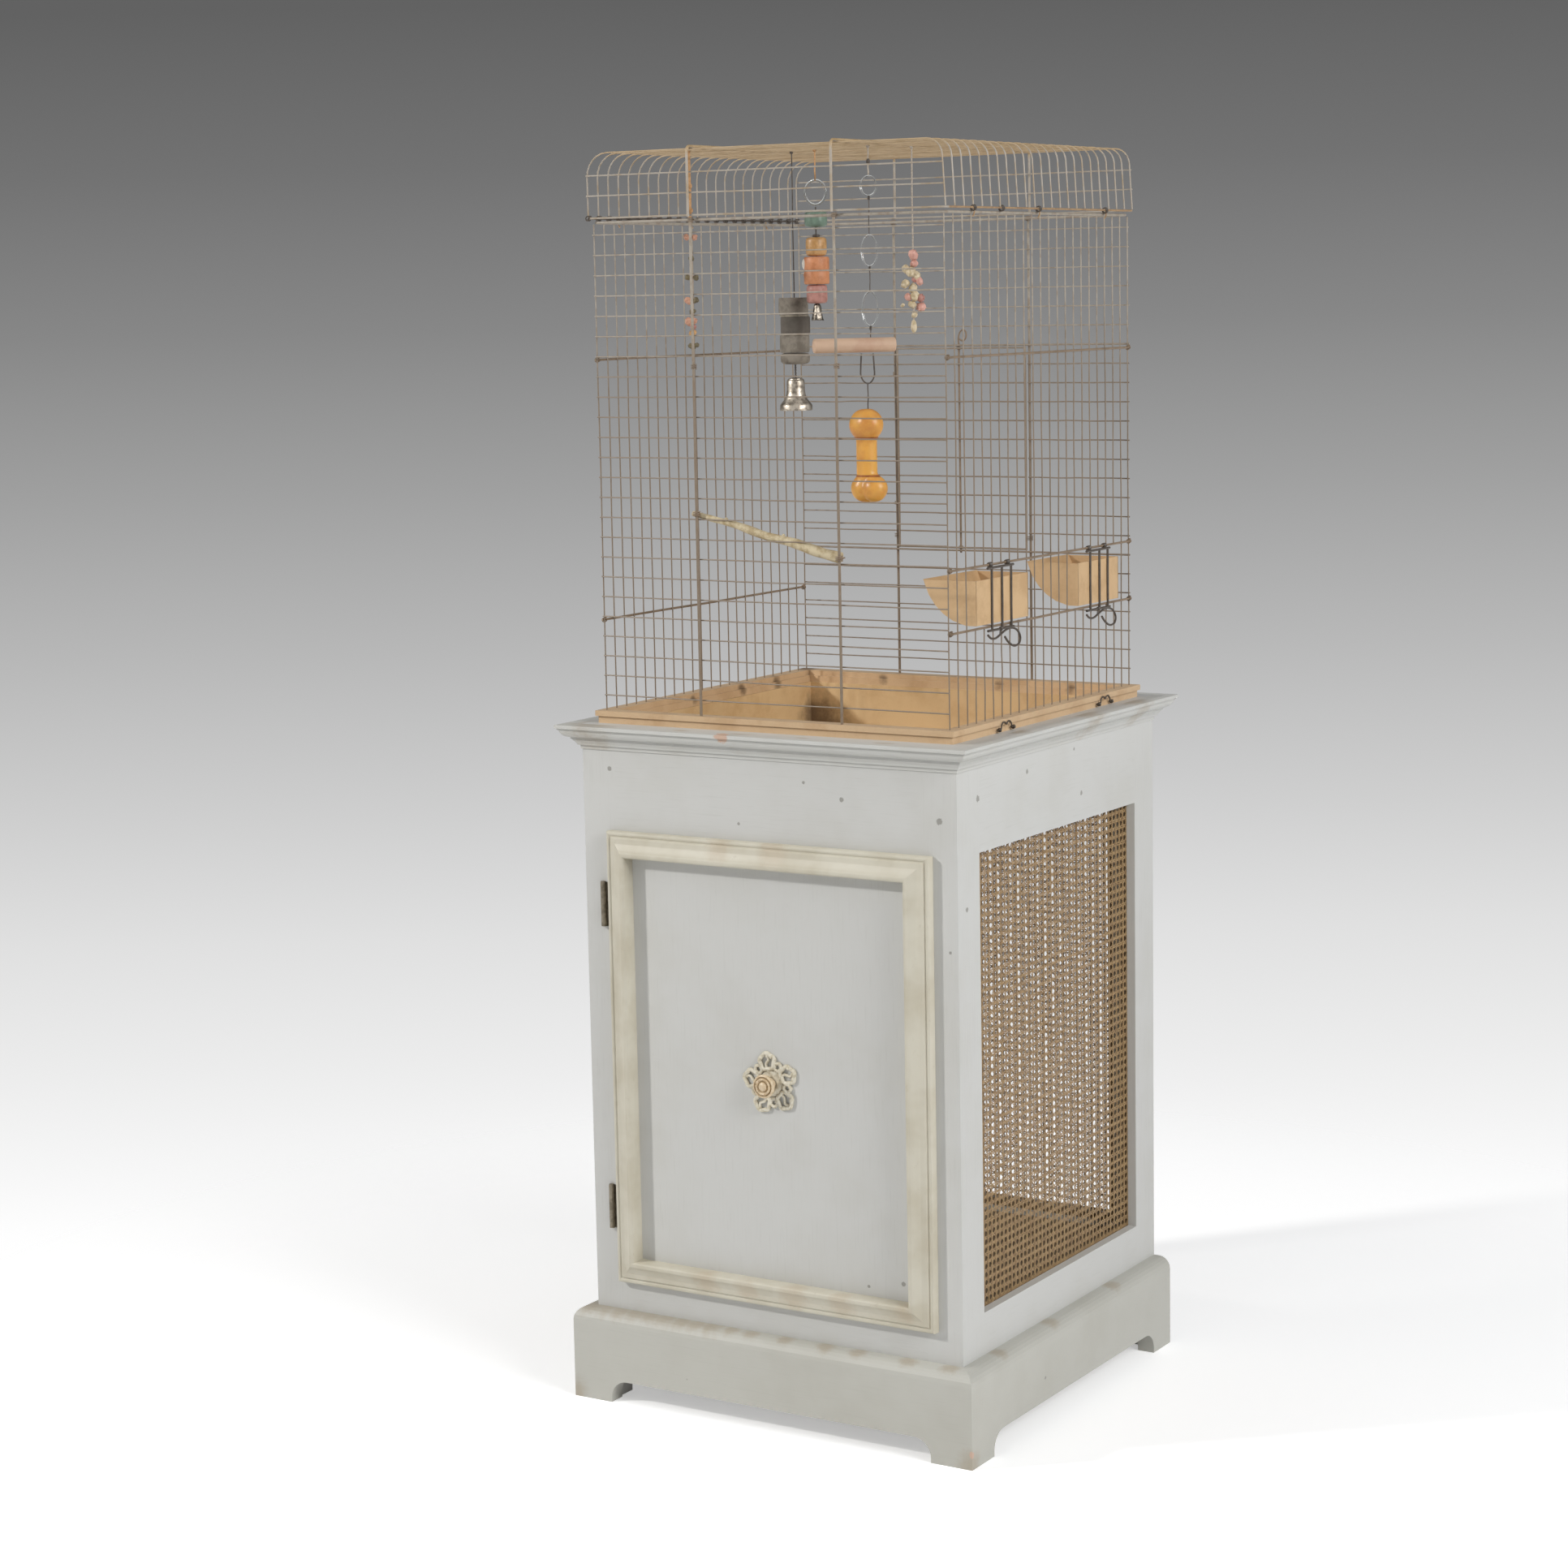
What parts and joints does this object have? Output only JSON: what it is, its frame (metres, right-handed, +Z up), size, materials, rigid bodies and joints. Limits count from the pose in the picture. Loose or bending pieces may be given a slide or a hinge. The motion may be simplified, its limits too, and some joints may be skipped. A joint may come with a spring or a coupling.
{
  "type": "bird_cage",
  "caption": "Tall wire bird cage with a lift-off hood, back door and swing-out feeders, standing on a painted cupboard with cane sides and one hinged door",
  "frame": {"origin": "on the floor under the middle of the plinth", "axes": "+X to the right seen from the cupboard door, the door faces -Y, +Z up"},
  "size_m": [0.598, 0.598, 1.6165],
  "materials": {
    "blue_paint": "satin",
    "cream_paint": "satin",
    "cane": "matte",
    "tan_enamel": "semi_gloss",
    "tan_wire": "satin",
    "steel": "satin",
    "gilt_brass": "satin",
    "ivory": "gloss",
    "bare_wood": "matte",
    "toy_wood": "satin",
    "toy_plastic": "gloss",
    "bright_metal": "polished",
    "mineral": "matte"
  },
  "bodies": {
    "cabinet": {"plinth_front": "blue_paint", "plinth_sides": "blue_paint", "plinth_blocks": "blue_paint", "front_stiles": "blue_paint", "front_rails": "blue_paint", "side_stiles": "blue_paint", "side_frame_rails": "blue_paint", "cane_panels": "cane", "cane_beads": "blue_paint", "back_frame": "blue_paint", "cabinet_floor": "blue_paint", "cabinet_top": "blue_paint", "cornice": "blue_paint", "tray_bottom": "tan_enamel", "tray_walls": "tan_enamel", "tray_rim": "tan_enamel", "rim_eyes": "tan_wire", "catch_block": "blue_paint", "hinge_frame_leaves": "steel", "hinge_pins": "steel"},
    "cupboard_door": {"door_panel": "blue_paint", "door_moulding": "cream_paint", "knob_backplate": "gilt_brass", "door_knob": "ivory", "door_catch": "steel", "hinge_door_leaves": "steel"},
    "clip_front_right": {"rim_clip_front_right": "tan_wire"},
    "clip_rear_right": {"rim_clip_rear_right": "tan_wire"},
    "clip_front_left": {"rim_clip_front_left": "tan_wire"},
    "clip_rear_left": {"rim_clip_rear_left": "tan_wire"},
    "cage": {"cage_base_frame": "tan_enamel", "left_wires": "tan_wire", "right_wires": "tan_wire", "side_rails": "tan_wire", "front_wires": "tan_wire", "back_wires": "tan_wire", "cage_rods": "tan_wire", "cage_top_ring": "tan_wire", "perch": "bare_wood"},
    "cage_back_door": {"back_door": "tan_wire"},
    "drop_bolt": {"back_door_bolt": "tan_wire"},
    "front_feeder": {"feeder_front": "tan_enamel", "feeder_hanger_front": "tan_wire"},
    "front_hook": {"s_hook_front": "tan_wire"},
    "rear_feeder": {"feeder_rear": "tan_enamel", "feeder_hanger_rear": "tan_wire"},
    "rear_hook": {"s_hook_rear": "tan_wire"},
    "hood": {"hood_wires": "tan_wire", "hood_end_wires": "tan_wire", "hood_band": "tan_wire"},
    "bead_string": {"bead_string": "toy_plastic"},
    "tower_toy": {"tower_ring": "toy_plastic", "tower_blocks": "toy_wood", "tower_bell": "bright_metal"},
    "mineral_toy": {"mineral_block": "mineral", "mineral_bell": "bright_metal"},
    "chain_toy": {"chain_rings": "steel", "swing_dowel": "bare_wood", "bone_toy": "mineral"},
    "cluster_toy": {"shell_cluster": "mineral"}
  },
  "joints": [
    {"name": "cupboard_door_hinge", "type": "hinge", "parent": "cabinet", "child": "cupboard_door", "pos_m": [-0.245, -0.276, 0.459], "axis": [0, 0, -1], "range_deg": [0, 105]},
    {"name": "clip_front_right_turn", "type": "hinge", "parent": "cabinet", "child": "clip_front_right", "pos_m": [0.2633, -0.125, 0.896], "axis": [0, 1, 0], "range_deg": [0, 85]},
    {"name": "clip_rear_right_turn", "type": "hinge", "parent": "cabinet", "child": "clip_rear_right", "pos_m": [0.2633, 0.151, 0.896], "axis": [0, 1, 0], "range_deg": [0, 85]},
    {"name": "clip_front_left_turn", "type": "hinge", "parent": "cabinet", "child": "clip_front_left", "pos_m": [-0.2633, -0.121, 0.896], "axis": [0, -1, 0], "range_deg": [0, 85]},
    {"name": "clip_rear_left_turn", "type": "hinge", "parent": "cabinet", "child": "clip_rear_left", "pos_m": [-0.2633, 0.148, 0.896], "axis": [0, -1, 0], "range_deg": [0, 85]},
    {"name": "cage_lift", "type": "slide", "parent": "cabinet", "child": "cage", "axis": [0, 0, 1], "range_m": [0, 0.15]},
    {"name": "hood_lift", "type": "slide", "parent": "cage", "child": "hood", "axis": [0, 0, 1], "range_m": [0, 0.12]},
    {"name": "back_door_hinge", "type": "hinge", "parent": "cage", "child": "cage_back_door", "pos_m": [-0.103, 0.25295, 1.22], "axis": [0, 0, 1], "range_deg": [0, 110]},
    {"name": "drop_bolt_lift", "type": "slide", "parent": "cage_back_door", "child": "drop_bolt", "axis": [0, 0, 1], "range_m": [0, 0.015]},
    {"name": "front_feeder_swing", "type": "hinge", "parent": "cage", "child": "front_feeder", "pos_m": [0.2536, -0.12375, 1.1], "axis": [0, -1, 0], "range_deg": [0, 60]},
    {"name": "rear_feeder_swing", "type": "hinge", "parent": "cage", "child": "rear_feeder", "pos_m": [0.2536, 0.14625, 1.1], "axis": [0, -1, 0], "range_deg": [0, 60]},
    {"name": "front_hook_swing", "type": "hinge", "parent": "front_feeder", "child": "front_hook", "pos_m": [0.2562, -0.12375, 1.0195], "axis": [0, -1, 0], "range_deg": [0, 60]},
    {"name": "rear_hook_swing", "type": "hinge", "parent": "rear_feeder", "child": "rear_hook", "pos_m": [0.2562, 0.14625, 1.0195], "axis": [0, -1, 0], "range_deg": [0, 60]},
    {"name": "bead_string_swing", "type": "hinge", "parent": "hood", "child": "bead_string", "pos_m": [-0.133, -0.2061, 1.61105], "axis": [1, 0, 0], "range_deg": [-6, 6]},
    {"name": "tower_toy_swing", "type": "hinge", "parent": "hood", "child": "tower_toy", "pos_m": [-0.019, -0.0916, 1.61105], "axis": [1, 0, 0], "range_deg": [-6, 6]},
    {"name": "mineral_toy_swing", "type": "hinge", "parent": "hood", "child": "mineral_toy", "pos_m": [-0.067, -0.0687, 1.61105], "axis": [1, 0, 0], "range_deg": [-6, 6]},
    {"name": "chain_toy_swing", "type": "hinge", "parent": "hood", "child": "chain_toy", "pos_m": [0.085, -0.1374, 1.61105], "axis": [1, 0, 0], "range_deg": [-6, 6]},
    {"name": "cluster_toy_swing", "type": "hinge", "parent": "hood", "child": "cluster_toy", "pos_m": [0.108, -0.0687, 1.61105], "axis": [1, 0, 0], "range_deg": [-6, 6]}
  ]
}
